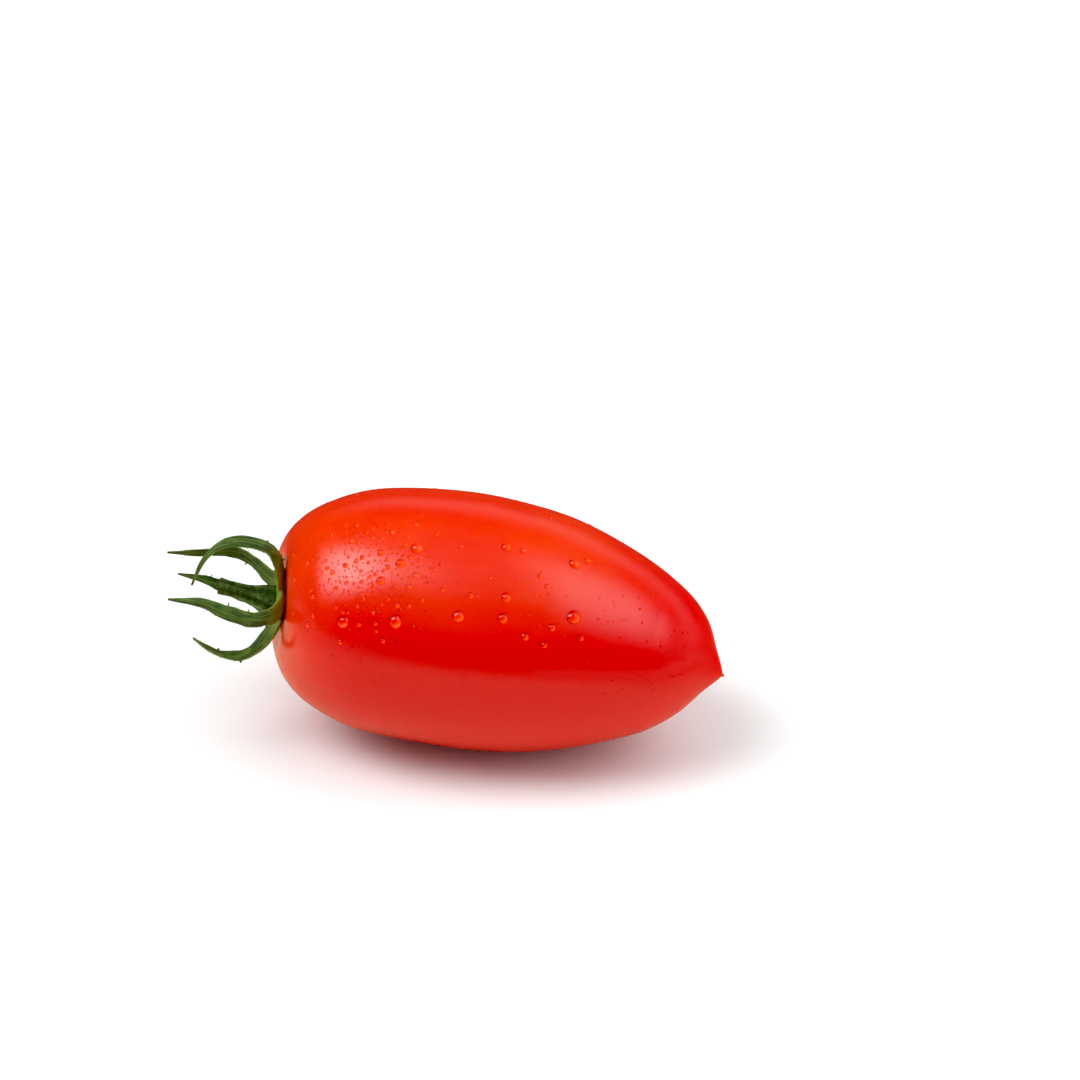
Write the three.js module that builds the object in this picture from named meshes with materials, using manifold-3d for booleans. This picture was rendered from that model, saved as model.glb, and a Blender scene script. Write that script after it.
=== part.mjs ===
// A plum tomato lying on its side, with its green calyx and the stub of its stalk.
// Millimetres, +Z up. The origin is the middle of the small flat spot it rests on.
// The stalk end points towards -X and the pointed end towards +X.

import * as THREE from 'three';
import { mergeVertices } from 'three/addons/utils/BufferGeometryUtils.js';
import Module from 'manifold-3d';

// Fruit: how far along the fruit, and the radius there, from the dimple at the stalk to the point.
const LENGTH = 72;
const PROFILE = [
  [2.6, 0], [2.5, 2.6], [2.0, 5.6], [2.0, 8.6], [3.8, 12.4], [7.6, 15.7], [14.5, 18.6], [24, 19.8],
  [34, 19.9], [45, 18.5], [55.4, 15.1], [62.5, 11.6], [67.0, 7.8], [69.8, 3.5], [71.2, 1.4], [72, 0],
];
const RINGS = 54;
const SIDES = 60;

// How the middle line bends: to the side, upwards, and down again at the point.
const SIDE_BOW = 3.0;
const UP_BOW = -0.25;
const TIP_DROOP = 0.76;
const TIP_STARTS = 0.86;

// The shoulder is cut askew: slope to the side, slope at the top, share of the length it fades over.
const SKEW_SIDE = 0.16;
const SKEW_TOP = 0.10;
const SKEW_REACH = 0.30;

// Soft lobes round the shoulder, and the slight oval of the whole section.
const LOBES = 5;
const LOBE_DEPTH = 0.012;
const LOBE_REACH = 0.35;
const OVAL = 0.008;

// Resting pose: the point hangs a little, and a shallow flat is pressed into the underside.
const TIP_DOWN = THREE.MathUtils.degToRad(5);
const REST_SHIFT = new THREE.Vector3(0.85, -3.0, 19.56);
const BLOCK_TOP = 50;

// Calyx: a small disc in the dimple, five sepals a fifth of a turn apart, and the stalk stub.
const GAP = 0.3;
const DISC_RADIUS = 3.0;
const DISC_UNDER = 0.4;
const DISC_TOP = 1.6;
const DISC_FOOT = 0.8;
const DISC_EDGE = 0.93;
const DISC_CROWN = 0.7;
const DISC_SIDES = 40;
const SEPAL_STEP = THREE.MathUtils.degToRad(72);
const SEPAL_BASE_WIDTH = 3.9;
const SEPAL_TIP_WIDTH = 0.5;
const SEPAL_TAPER = 0.8;
const SEPAL_BASE_THICK = 0.75;
const SEPAL_TIP_THICK = 0.45;
const SEPAL_ARCH = 0.12;
const SEPAL_ARCH_FROM = 0.3;
const SEPAL_ARCH_LEVEL = 0.5;
const SEPAL_STEPS = 26;
const SEPAL_SIDES = 12;

// Each sepal: points on its middle line as [out from the fruit, away from the axis, swing], and how far
// it is twisted at its base, a third of the way, two thirds of the way, and at its tip.
const SEPALS = [
  {
    twists: [0, 0.40, 0.20, 0.10],
    line: [
      [1.0, 3.4, 0], [1.5, 5.6, 0], [2.2, 7.8, 0], [4.0, 9.7, 0], [7.6, 10.6, 0],
      [11.2, 9.8, 0.1], [13.6, 6.6, 0.2], [14.8, 1.9, 0.3],
    ],
  },
  {
    twists: [0, -0.05, -0.10, -0.15],
    line: [
      [1.0, 3.4, 0], [1.7, 6.2, 0], [3.4, 8.7, 0.3], [6.4, 10.0, 0.5], [10.2, 9.8, -0.3],
      [14.0, 8.5, -1.2], [19.0, 6.6, -0.9],
    ],
  },
  {
    twists: [0, 0.40, 0.50, 0.30],
    line: [
      [1.0, 3.4, 0], [2.1, 5.6, 0], [3.8, 7.8, 0], [6.4, 9.2, 0], [9.2, 9.1, 0],
      [11.6, 8.2, 0], [13.9, 6.8, 0],
    ],
  },
  {
    twists: [0, 0.07, 0.13, 0.20],
    line: [
      [1.0, 3.4, 0], [2.3, 5.0, 1.0], [4.6, 6.6, 2.6], [8.0, 7.4, 3.9], [11.5, 7.2, 5.0],
      [15.9, 6.1, 5.3],
    ],
  },
  {
    twists: [0, -0.03, -0.07, -0.10],
    line: [
      [1.0, 3.4, 0], [2.4, 4.8, 0], [4.2, 6.9, 0], [7.0, 8.8, 0], [10.7, 8.6, 0],
      [14.2, 8.1, 0], [18.2, 7.8, 0],
    ],
  },
];

// Stalk stub: where it ends as [out, towards the top, towards the front], its radii, and its ribs.
const STUB_END = [10.2, 1.2, -0.84];
const STUB_BASE_RADIUS = 1.75;
const STUB_NECK_RADIUS = 1.15;
const STUB_CUT_RADIUS = 1.25;
const STUB_NARROWS = 0.55;
const STUB_FLARES = 0.8;
const STUB_RIBS = 5;
const STUB_RIB_DEPTH = 0.07;
const STUB_SIDES = 30;
const STUB_STEPS = 14;

// Step for slopes of lines given by the share of the way along, and how close vertices are to join.
const SHARE_STEP = 0.01;
const JOIN_DISTANCE = 1e-4;

const wasm = await Module();
wasm.setup();

function smooth(from, to, value) {
  return THREE.MathUtils.smoothstep(value, from, to);
}

// A smooth line through points given as arrays, asked for by the share of the way along.
function lineThrough(points) {
  const curve = new THREE.CatmullRomCurve3(
    points.map(([x, y, z = 0]) => new THREE.Vector3(x, y, z)), false, 'catmullrom');
  return (share) => curve.getPoint(share);
}

// Middle line of the fruit before it is laid down.
function centreAt(along) {
  const share = along / LENGTH;
  const hump = 1 - (2 * share - 1) ** 2;
  const droop = THREE.MathUtils.clamp((share - TIP_STARTS) / (1 - TIP_STARTS), 0, 1);
  return new THREE.Vector3(along - LENGTH / 2, SIDE_BOW * hump, UP_BOW * hump - TIP_DROOP * droop * droop);
}

// Sideways and upward directions square to the middle line.
function axesAt(along) {
  const step = LENGTH * SHARE_STEP ** 2;
  const forward = centreAt(along + step).sub(centreAt(along - step)).normalize();
  const side = new THREE.Vector3(0, 0, 1).cross(forward).normalize();
  return { side, up: forward.clone().cross(side) };
}

function skewFade(along) {
  return Math.max(1 - along / LENGTH / SKEW_REACH, 0) ** 2;
}

// Turns a direction so that the point of the fruit hangs down.
function lean(vector) {
  return vector.applyAxisAngle(new THREE.Vector3(0, 1, 0), TIP_DOWN);
}

function layDown(point) {
  return lean(point).add(REST_SHIFT);
}

// A place on the skin: share of the way along the profile, and angle round from the top.
const profileAt = lineThrough(PROFILE);

function skinAt(share, angle) {
  const { x: along, y: plain } = profileAt(share);
  const lobes = LOBE_DEPTH * Math.cos(LOBES * angle) * (1 - smooth(0, LOBE_REACH, along / LENGTH));
  const radius = plain * (1 + lobes - OVAL * Math.cos(2 * angle));
  const { side, up } = axesAt(along);
  const point = centreAt(along)
    .addScaledVector(up, radius * Math.cos(angle))
    .addScaledVector(side, radius * Math.sin(angle));
  point.x -= skewFade(along) * radius * (SKEW_SIDE * Math.sin(angle) - SKEW_TOP * Math.cos(angle));
  return layDown(point);
}

// Vertices joined up into one closed skin.
function joinUp(geometry) {
  geometry.deleteAttribute('normal');
  geometry.deleteAttribute('uv');
  const joined = mergeVertices(geometry, JOIN_DISTANCE);
  joined.computeVertexNormals();
  return joined;
}

// A shape with its vertices moved by a rule.
function remap(geometry, rule) {
  const place = geometry.attributes.position;
  const point = new THREE.Vector3();
  for (let i = 0; i < place.count; i += 1) {
    point.fromBufferAttribute(place, i);
    rule(point);
    place.setXYZ(i, point.x, point.y, point.z);
  }
  return joinUp(geometry);
}

function toSolid(geometry) {
  return new wasm.Manifold(new wasm.Mesh({
    numProp: 3,
    vertProperties: new Float32Array(geometry.attributes.position.array),
    triVerts: new Uint32Array(geometry.index.array),
  }));
}

function fromSolid(solid) {
  const { vertProperties, triVerts } = solid.getMesh();
  const geometry = new THREE.BufferGeometry();
  geometry.setAttribute('position', new THREE.BufferAttribute(new Float32Array(vertProperties), 3));
  geometry.setIndex(new THREE.BufferAttribute(new Uint32Array(triVerts), 1));
  geometry.computeVertexNormals();
  return geometry;
}

// The fruit: a ball pulled onto the skin, with the underside cut off flat at the floor.
function fruitGeometry() {
  const body = remap(new THREE.SphereGeometry(1, SIDES, RINGS), (point) => {
    const share = Math.acos(THREE.MathUtils.clamp(point.y, -1, 1)) / Math.PI;
    point.copy(skinAt(share, Math.atan2(-point.z, point.x)));
  });
  const block = new THREE.BoxGeometry(LENGTH * 2, LENGTH * 2, BLOCK_TOP).translate(0, 0, BLOCK_TOP / 2);
  return fromSolid(toSolid(body).intersect(toSolid(joinUp(block))));
}

// Directions at the stalk: out from the fruit, towards the top, and towards the front.
function calyxFrame() {
  const along = PROFILE[0][0];
  const fade = skewFade(along);
  const { side, up } = axesAt(along);
  side.x -= SKEW_SIDE * fade;
  up.x += SKEW_TOP * fade;
  const out = lean(up.clone().cross(side)).normalize();
  const top = new THREE.Vector3(0, 0, 1).addScaledVector(out, -out.z).normalize();
  return { origin: layDown(centreAt(along)), out, top, front: top.clone().cross(out) };
}

const calyx = calyxFrame();

// A place given as distances out, towards the top and towards the front.
function inCalyx(out, top, front) {
  return calyx.origin.clone()
    .addScaledVector(calyx.out, out)
    .addScaledVector(calyx.top, top)
    .addScaledVector(calyx.front, front);
}

// The disc between the sepals: flat below, domed above.
function discGeometry() {
  const outline = [
    new THREE.Vector2(0, DISC_UNDER),
    new THREE.Vector2(DISC_RADIUS * DISC_FOOT, DISC_UNDER),
    new THREE.Vector2(DISC_RADIUS, DISC_UNDER + GAP),
    new THREE.Vector2(DISC_RADIUS * DISC_EDGE, DISC_TOP - GAP),
    new THREE.Vector2(DISC_RADIUS * DISC_CROWN, DISC_TOP),
    new THREE.Vector2(0, DISC_TOP),
  ];
  return remap(new THREE.LatheGeometry(outline, DISC_SIDES), (point) => {
    point.copy(inCalyx(point.y, point.x, point.z));
  });
}

// One sepal: a thin arched blade that narrows to its tip along a curled line.
function sepalGeometry({ line, twists }, turn) {
  const middle = lineThrough(line);
  const twistAt = lineThrough(twists.map((twist) => [twist, 0]));
  const away = new THREE.Vector3(0, Math.cos(turn), Math.sin(turn));
  const across = new THREE.Vector3(0, -Math.sin(turn), Math.cos(turn));
  const placeOn = (share) => {
    const { x, y, z } = middle(share);
    return new THREE.Vector3(x, 0, 0).addScaledVector(away, y).addScaledVector(across, z);
  };
  return remap(new THREE.CylinderGeometry(1, 1, 1, SEPAL_SIDES, SEPAL_STEPS), (point) => {
    const share = point.y + 0.5;
    const before = placeOn(Math.max(share - SHARE_STEP, 0));
    const ahead = placeOn(Math.min(share + SHARE_STEP, 1)).sub(before).normalize();
    const wide = across.clone().addScaledVector(ahead, -across.dot(ahead)).normalize();
    wide.applyAxisAngle(ahead, twistAt(share).x);
    const thick = ahead.clone().cross(wide);
    const fullness = (1 - share) ** SEPAL_TAPER;
    const width = SEPAL_TIP_WIDTH + (SEPAL_BASE_WIDTH - SEPAL_TIP_WIDTH) * fullness;
    const depth = SEPAL_TIP_THICK + (SEPAL_BASE_THICK - SEPAL_TIP_THICK) * fullness;
    const arched = smooth(0, SEPAL_ARCH_FROM, share);
    const arch = SEPAL_ARCH * width * (SEPAL_ARCH_LEVEL - point.x * point.x) * arched;
    const place = placeOn(share)
      .addScaledVector(wide, point.x * width / 2)
      .addScaledVector(thick, point.z * depth / 2 - arch);
    point.copy(inCalyx(place.x, place.y, place.z));
  });
}

// The stalk stub: ribbed, narrowing from the disc and flaring a little at its cut end.
function stubGeometry() {
  const start = DISC_TOP + GAP;
  const end = new THREE.Vector3(...STUB_END);
  const axis = end.clone().sub(new THREE.Vector3(start, 0, 0));
  return remap(new THREE.CylinderGeometry(1, 1, 1, STUB_SIDES, STUB_STEPS), (point) => {
    const share = point.y + 0.5;
    const narrowing = smooth(0, STUB_NARROWS, share);
    const narrowed = THREE.MathUtils.lerp(STUB_BASE_RADIUS, STUB_NECK_RADIUS, narrowing);
    const radius = narrowed + (STUB_CUT_RADIUS - STUB_NECK_RADIUS) * smooth(STUB_FLARES, 1, share);
    const ribs = 1 + STUB_RIB_DEPTH * Math.cos(STUB_RIBS * Math.atan2(point.z, point.x));
    const place = axis.clone().multiplyScalar(share);
    point.copy(inCalyx(start + place.x, place.y + point.x * radius * ribs, place.z + point.z * radius * ribs));
  });
}

function piece(name, geometry, colour, roughness) {
  const material = new THREE.MeshStandardMaterial({ color: colour, roughness, metalness: 0 });
  const mesh = new THREE.Mesh(geometry, material);
  mesh.name = name;
  return mesh;
}

const tomato = new THREE.Group();
tomato.name = 'tomato';
tomato.add(piece('fruit', fruitGeometry(), '#d81a08', 0.22));
tomato.add(piece('receptacle', discGeometry(), '#7c9a35', 0.6));
SEPALS.forEach((shape, i) => {
  tomato.add(piece(`sepal_${i + 1}`, sepalGeometry(shape, i * SEPAL_STEP), '#456b2c', 0.6));
});
tomato.add(piece('stalk_stub', stubGeometry(), '#4a6a2a', 0.65));

export default tomato;
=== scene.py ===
# The looks of a plum tomato on its side: skin, calyx, cut stalk stub and drops of water.
# Metres, in the frame of the CAD model: +X from the stalk end to the point, +Z up from the floor.

import math

import bpy
import numpy as np
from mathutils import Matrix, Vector, noise
from mathutils.bvhtree import BVHTree


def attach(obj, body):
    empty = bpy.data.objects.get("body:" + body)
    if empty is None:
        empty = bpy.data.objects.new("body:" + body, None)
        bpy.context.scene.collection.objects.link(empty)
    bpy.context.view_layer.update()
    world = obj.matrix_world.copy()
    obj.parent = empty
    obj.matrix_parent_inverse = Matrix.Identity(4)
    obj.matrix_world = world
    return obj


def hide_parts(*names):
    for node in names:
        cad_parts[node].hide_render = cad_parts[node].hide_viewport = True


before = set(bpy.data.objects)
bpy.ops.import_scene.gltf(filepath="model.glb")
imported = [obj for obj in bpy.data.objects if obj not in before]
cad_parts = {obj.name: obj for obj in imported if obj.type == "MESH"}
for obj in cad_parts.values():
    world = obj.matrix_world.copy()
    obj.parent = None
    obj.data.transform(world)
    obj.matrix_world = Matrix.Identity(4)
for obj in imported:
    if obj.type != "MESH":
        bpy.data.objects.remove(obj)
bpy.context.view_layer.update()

MM = 0.001
SEPAL_SEED = 11
STUB_SEED = 51
DROP_SEED = 91

# Driving sizes of the fruit, as in the CAD model.
LENGTH = 72 * MM
PROFILE = np.array([
    [2.6, 0], [2.5, 2.6], [2.0, 5.6], [2.0, 8.6], [3.8, 12.4], [7.6, 15.7], [14.5, 18.6], [24, 19.8],
    [34, 19.9], [45, 18.5], [55.4, 15.1], [62.5, 11.6], [67.0, 7.8], [69.8, 3.5], [71.2, 1.4], [72, 0],
]) * MM
SIDE_BOW = 3.0 * MM
UP_BOW = -0.25 * MM
TIP_DROOP = 0.76 * MM
TIP_STARTS = 0.86
SKEW_SIDE = 0.16
SKEW_TOP = 0.10
SKEW_REACH = 0.30
LOBES = 5
LOBE_DEPTH = 0.012
LOBE_REACH = 0.35
OVAL = 0.008
TIP_DOWN = math.radians(5)
REST_SHIFT = np.array([0.85, -3.0, 19.56]) * MM

# How finely the skin is meshed, and how much it waves between its ends, away from the floor.
SKIN_RINGS = 225
SKIN_SIDES = 192
WAVE_DEPTH = 0.07 * MM
WAVE_LENGTH = 9 * MM
WAVE_ENDS = 0.12
WAVE_TIP = 0.08
WAVE_LOW = 0.3 * MM
WAVE_HIGH = 3 * MM

# Driving sizes of the calyx and the stalk stub, as in the CAD model.
SEPAL_STEP = math.radians(72)
STUB_START = 1.3 * MM
STUB_END = np.array([10.2, 1.2, -0.84]) * MM
STUB_BASE_RADIUS = 2.1 * MM
STUB_NECK_RADIUS = 1.15 * MM
STUB_CUT_RADIUS = 1.25 * MM
STUB_RIBS = 5
STUB_RIB_DEPTH = 0.13
STUB_SLANT = 0.5
STUB_SLANT_TURN = math.radians(55)
STUB_TWIST = 0.5
STUB_NECK_AT = 0.55
STUB_FLARES_FROM = 0.8
STUB_SLANTS_FROM = 0.6
STUB_TEARS_FROM = 0.9

# Camera: angles round the object, lens, distance, and the place it looks at.
CAMERA_AZIMUTH = math.radians(8.49)
CAMERA_ELEVATION = math.radians(35)
CAMERA_LENS = 160
CAMERA_SENSOR = 36
CAMERA_DISTANCE = 798.6 * MM
CAMERA_TARGET = np.array([0.22, 49.01, 1.5]) * MM
FRAME_PIXELS = 1080
FOCAL_PIXELS = CAMERA_LENS / CAMERA_SENSOR * FRAME_PIXELS


def unit(vector):
    """The same direction, one long; works on one vector or an array of them."""
    vector = np.asarray(vector, dtype=float)
    return vector / np.linalg.norm(vector, axis=-1, keepdims=True)


def smooth(low, high, value):
    """0 below low, 1 above high, and an even curve between."""
    share = np.clip((np.asarray(value, dtype=float) - low) / (high - low), 0, 1)
    return share * share * (3 - 2 * share)


def line_through(points):
    """A smooth line through points, as a function of the share of the way along."""
    points = np.array(points, dtype=float)
    padded = np.vstack([2 * points[0] - points[1], points, 2 * points[-1] - points[-2]])
    spans = len(points) - 1

    def place(share):
        spot = np.asarray(share, dtype=float) * spans
        first = np.clip(spot.astype(int), 0, spans - 1)
        part = (spot - first)[..., None]
        a, b, c, d = (padded[first + k] for k in range(4))
        bend = 2 * a - 5 * b + 4 * c - d
        return b + 0.5 * part * (c - a + part * (bend + part * (3 * (b - c) + d - a)))

    return place


def stack(*parts):
    """Three arrays of numbers as one array of vectors."""
    return np.stack(np.broadcast_arrays(*parts), axis=-1).astype(float)


# The fruit's shape, by the same rules as the CAD model.
def centre_at(along):
    """The bent middle line of the fruit, before it is leant and moved to where it rests."""
    share = along / LENGTH
    hump = 1 - (2 * share - 1) ** 2
    droop = np.clip((share - TIP_STARTS) / (1 - TIP_STARTS), 0, 1)
    return stack(along - LENGTH / 2, SIDE_BOW * hump, UP_BOW * hump - TIP_DROOP * droop ** 2)


def axes_at(along):
    """The directions sideways and upwards, square to the middle line."""
    step = 0.01 * MM
    forward = unit(centre_at(along + step) - centre_at(along - step))
    side = unit(np.cross([0, 0, 1], forward))
    return side, np.cross(forward, side)


def skew_fade(along):
    """How far the slant of the stalk end still reaches, from 1 there to 0."""
    return np.maximum(1 - along / LENGTH / SKEW_REACH, 0) ** 2


def lean(vector):
    """Turns a direction so that the point of the fruit hangs down."""
    x, y, z = np.moveaxis(np.asarray(vector, dtype=float), -1, 0)
    cosine, sine = math.cos(TIP_DOWN), math.sin(TIP_DOWN)
    return stack(x * cosine + z * sine, y, z * cosine - x * sine)


profile_at = line_through(PROFILE)


def skin_at(share, angle):
    """A place on the skin: share of the way along its outline, and angle from the top."""
    along, plain = np.moveaxis(profile_at(share), -1, 0)
    lobes = LOBE_DEPTH * np.cos(LOBES * angle) * (1 - smooth(0, LOBE_REACH, along / LENGTH))
    radius = plain * (1 + lobes - OVAL * np.cos(2 * angle))
    side, up = axes_at(along)
    upwards = (radius * np.cos(angle))[..., None] * up
    sideways = (radius * np.sin(angle))[..., None] * side
    point = centre_at(along) + upwards + sideways
    point[..., 0] -= skew_fade(along) * radius * (SKEW_SIDE * np.sin(angle) - SKEW_TOP * np.cos(angle))
    return lean(point) + REST_SHIFT


def calyx_frame():
    """Where the stalk grows, and the directions out, towards the top and towards the front."""
    along = PROFILE[0, 0]
    side, up = axes_at(along)
    side = side - np.array([SKEW_SIDE * skew_fade(along), 0, 0])
    up = up + np.array([SKEW_TOP * skew_fade(along), 0, 0])
    out = unit(lean(np.cross(up, side)))
    top = unit(np.array([0, 0, 1]) - out[2] * out)
    return lean(centre_at(along)) + REST_SHIFT, np.array([out, top, np.cross(top, out)])


CALYX_AT, CALYX_AXES = calyx_frame()


def in_calyx(places):
    """Places given as distances out, towards the top and towards the front."""
    return CALYX_AT + np.asarray(places) @ CALYX_AXES


# Meshes.
class Shape:
    """Points, faces and numbers for each point, gathered from several closed skins."""

    def __init__(self):
        self.points = []
        self.count = 0
        self.numbers = {}
        self.faces = []
        self.face_slots = []

    def add_tube(self, rings, **numbers):
        """A closed skin through rings of points; a fan shuts each end."""
        rings = np.asarray(rings)
        steps, sides, _ = rings.shape
        ends = np.array([rings[0].mean(axis=0), rings[-1].mean(axis=0)])
        at = np.arange(steps * sides).reshape(steps, sides)
        after = np.roll(at, -1, axis=1)
        quads = np.stack([at[:-1], after[:-1], after[1:], at[1:]], axis=-1).reshape(-1, 4)
        low, high = steps * sides, steps * sides + 1
        faces = quads.tolist()
        faces += [[low, int(b), int(a)] for a, b in zip(at[0], after[0])]
        faces += [[high, int(a), int(b)] for a, b in zip(at[-1], after[-1])]
        points = np.vstack([rings.reshape(-1, 3), ends])
        if signed_volume(points, faces) < 0:
            faces = [face[::-1] for face in faces]
        self.points.append(points)
        self.faces += [[corner + self.count for corner in face] for face in faces]
        self.face_slots += [0] * len(faces)
        for name, grid in numbers.items():
            grid = np.broadcast_to(np.asarray(grid, dtype=float), (steps, sides))
            values = np.concatenate([grid.reshape(-1), [grid[0].mean(), grid[-1].mean()]])
            self.numbers.setdefault(name, []).append(values)
        self.count += len(points)

    def to_mesh(self, name):
        """A Blender mesh with smooth shading, the numbers as attributes, and material slots."""
        mesh = bpy.data.meshes.new(name)
        mesh.from_pydata(np.vstack(self.points).tolist(), [], self.faces)
        mesh.shade_smooth()
        for number, values in self.numbers.items():
            made = mesh.attributes.new(number, "FLOAT", "POINT")
            made.data.foreach_set("value", np.concatenate(values).astype(np.float32))
        mesh.polygons.foreach_set("material_index", self.face_slots)
        mesh.update()
        return mesh


def signed_volume(points, faces):
    """Six times the volume that the faces enclose, negative if they face inwards."""
    total = 0.0
    quads = np.array([face for face in faces if len(face) == 4] or np.zeros((0, 4)), dtype=int)
    fans = np.array([face for face in faces if len(face) == 3] or np.zeros((0, 3)), dtype=int)
    for a, b, c in (quads[:, [0, 1, 2]].T, quads[:, [0, 2, 3]].T, fans.T):
        total += np.einsum("ij,ij->", points[a], np.cross(points[b], points[c]))
    return total


def add_piece(name, shape, materials, nodes=()):
    """Makes the object, rides it on the fruit's body, and hides any CAD parts it stands in for."""
    piece = bpy.data.objects.new(name, shape.to_mesh(name))
    bpy.context.scene.collection.objects.link(piece)
    for material in materials:
        piece.data.materials.append(material)
    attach(piece, "root")
    if nodes:
        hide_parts(*nodes)
    return piece


def wander(points, length):
    """A smooth random number between about -1 and 1 for each point, changing over that length."""
    flat = points.reshape(-1, 3) / length
    return np.array([noise.noise(Vector(point)) for point in flat]).reshape(points.shape[:-1])


# Materials.
class Recipe:
    """A procedural material or light, built by naming nodes and what feeds them."""

    def __init__(self, tree):
        self.tree = tree
        self.shader = next(node for node in tree.nodes if node.type in ("BSDF_PRINCIPLED", "BACKGROUND"))

    @classmethod
    def material(cls, name):
        """A new material, and the recipe that fills it."""
        material = bpy.data.materials.new(name)
        material.use_nodes = True
        return material, cls(material.node_tree)

    def feed(self, socket, value):
        """Links a socket to another one, or sets it to a number or a colour."""
        if isinstance(value, bpy.types.NodeSocket):
            self.tree.links.new(value, socket)
        elif isinstance(value, tuple) and len(value) == 3 and socket.type == "RGBA":
            socket.default_value = (*value, 1)
        else:
            socket.default_value = value

    def finish(self, **inputs):
        """Feeds the shader at the end of the recipe."""
        for name, value in inputs.items():
            self.feed(self.shader.inputs[name.replace("_", " ")], value)

    def node(self, kind, inputs, **settings):
        """One node with its inputs fed and its settings made."""
        made = self.tree.nodes.new("ShaderNode" + kind)
        for name, value in settings.items():
            setattr(made, name, value)
        for name, value in inputs.items():
            self.feed(made.inputs[name], value)
        return made

    def place(self, stretch=(1, 1, 1)):
        """Coordinates in millimetres, squeezed or stretched along the axes."""
        object_place = self.node("TexCoord", {}).outputs["Object"]
        scale = tuple(s / MM for s in stretch)
        return self.node("Mapping", {"Vector": object_place, "Scale": scale}).outputs["Vector"]

    def noise(self, place, size, detail=3.0, rough=0.55):
        """Clouds of about that size in millimetres, from 0 to 1."""
        inputs = {"Vector": place, "Scale": 1 / size, "Detail": detail, "Roughness": rough}
        return self.node("TexNoise", inputs).outputs["Fac"]

    def spots(self, place, size, radius):
        """1 in the middle of scattered round spots a size apart, and 0 outside their radius."""
        cells = self.node("TexVoronoi", {"Vector": place, "Scale": 1 / size}, feature="F1")
        return self.between(cells.outputs["Distance"], radius, 0.0)

    def number(self, name):
        """A number that the mesh holds for each of its points."""
        return self.node("Attribute", {}, attribute_name=name).outputs["Fac"]

    def between(self, value, low, high, to_low=0.0, to_high=1.0):
        """Value from low to high as a smooth change from to_low to to_high."""
        inputs = {"Value": value, "From Min": low, "From Max": high, "To Min": to_low, "To Max": to_high}
        return self.node("MapRange", inputs, interpolation_type="SMOOTHSTEP").outputs["Result"]

    def math(self, rule, *values):
        """Up to three values put together by a rule of the Math node."""
        return self.node("Math", dict(enumerate(values)), operation=rule).outputs[0]

    def dot(self, direction, way):
        """How far a direction or place goes along a way."""
        inputs = {0: direction, 1: tuple(float(part) for part in way)}
        return self.node("VectorMath", inputs, operation="DOT_PRODUCT").outputs["Value"]

    def join(self, x, y, z):
        """One place from its three coordinates."""
        return self.node("CombineXYZ", {"X": x, "Y": y, "Z": z}).outputs["Vector"]

    def distance(self, place, spot):
        """Millimetres from a spot."""
        inputs = {0: place, 1: tuple(s / MM for s in spot)}
        return self.node("VectorMath", inputs, operation="DISTANCE").outputs["Value"]

    def mix(self, share, first, second):
        """The first colour turning into the second one as share goes from 0 to 1."""
        made = self.node("Mix", {"Factor": share}, data_type="RGBA")
        self.feed(made.inputs[6], first)
        self.feed(made.inputs[7], second)
        return made.outputs[2]

    def bump(self, height, depth):
        """A bump that is depth millimetres high where height is 1."""
        inputs = {"Height": height, "Distance": depth * MM, "Strength": 1.0}
        return self.node("Bump", inputs).outputs["Normal"]


# Skin colours, from the deep red of the sides to the orange of the shoulder.
RED = (0.69, 0.003, 0.003)
WARM_RED = (0.77, 0.042, 0.006)
SHOULDER = (0.84, 0.058, 0.008)
# Seen through drops: painted shade towards the light and at the rim, and painted light on the far side.
PAINTED_SHADE_RED = (0.36, 0.002, 0.001)
PAINTED_LIGHT_RED = (1.0, 0.14, 0.025)
SPECK = (0.85, 0.16, 0.03)
SCAR = (0.55, 0.14, 0.02)

# Where those colours lie, in millimetres: up from the floor, and away from the stalk and the point.
TOP_WARMS_FROM = 26.5
TOP_WARMS_FULL = 37.0
SHOULDER_FULL = 8.0
SHOULDER_FADES = 26.0
SCAR_FULL = 0.2
SCAR_FADES = 0.7
STREAK_WIDTH = 1.3
STREAK_STRETCH = 0.12
SPECK_STEP = 0.9
TIP_AT = skin_at(np.array(1.0), np.array(0.0))


def skin_colour(recipe):
    """Red that warms towards the top and the shoulder, with faint clouds, streaks and specks."""
    place = recipe.place()
    clouds = recipe.between(recipe.noise(place, 14), 0.38, 0.66, 0.6, 1.0)
    # Warmer, lighter red towards the top.
    towards_top = recipe.between(recipe.dot(place, (0, 0, 1)), TOP_WARMS_FROM, TOP_WARMS_FULL, 0.0, 0.9)
    colour = recipe.mix(recipe.math("MULTIPLY", clouds, towards_top), RED, WARM_RED)
    from_stalk = recipe.distance(place, CALYX_AT)
    ragged = recipe.math("ADD", from_stalk, recipe.math("MULTIPLY", recipe.noise(place, 7), 9.0))
    shoulder = recipe.between(ragged, SHOULDER_FADES, SHOULDER_FULL, 0.0, 0.75)
    colour = recipe.mix(shoulder, colour, SHOULDER)
    streaks = recipe.noise(recipe.place((STREAK_STRETCH, 1, 1)), STREAK_WIDTH, 4.0)
    wisps = recipe.math("MULTIPLY", recipe.between(streaks, 0.52, 0.75, 0.0, 0.25), towards_top)
    colour = recipe.mix(wisps, colour, SHOULDER)
    colour = recipe.mix(recipe.between(streaks, 0.48, 0.25, 0.0, 0.16), colour, RED)
    specks = recipe.spots(place, SPECK_STEP, 0.16)
    colour = recipe.mix(recipe.math("MULTIPLY", specks, 0.25), colour, SPECK)
    from_tip = recipe.distance(place, TIP_AT)
    return recipe.mix(recipe.between(from_tip, SCAR_FADES, SCAR_FULL), colour, SCAR)


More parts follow.
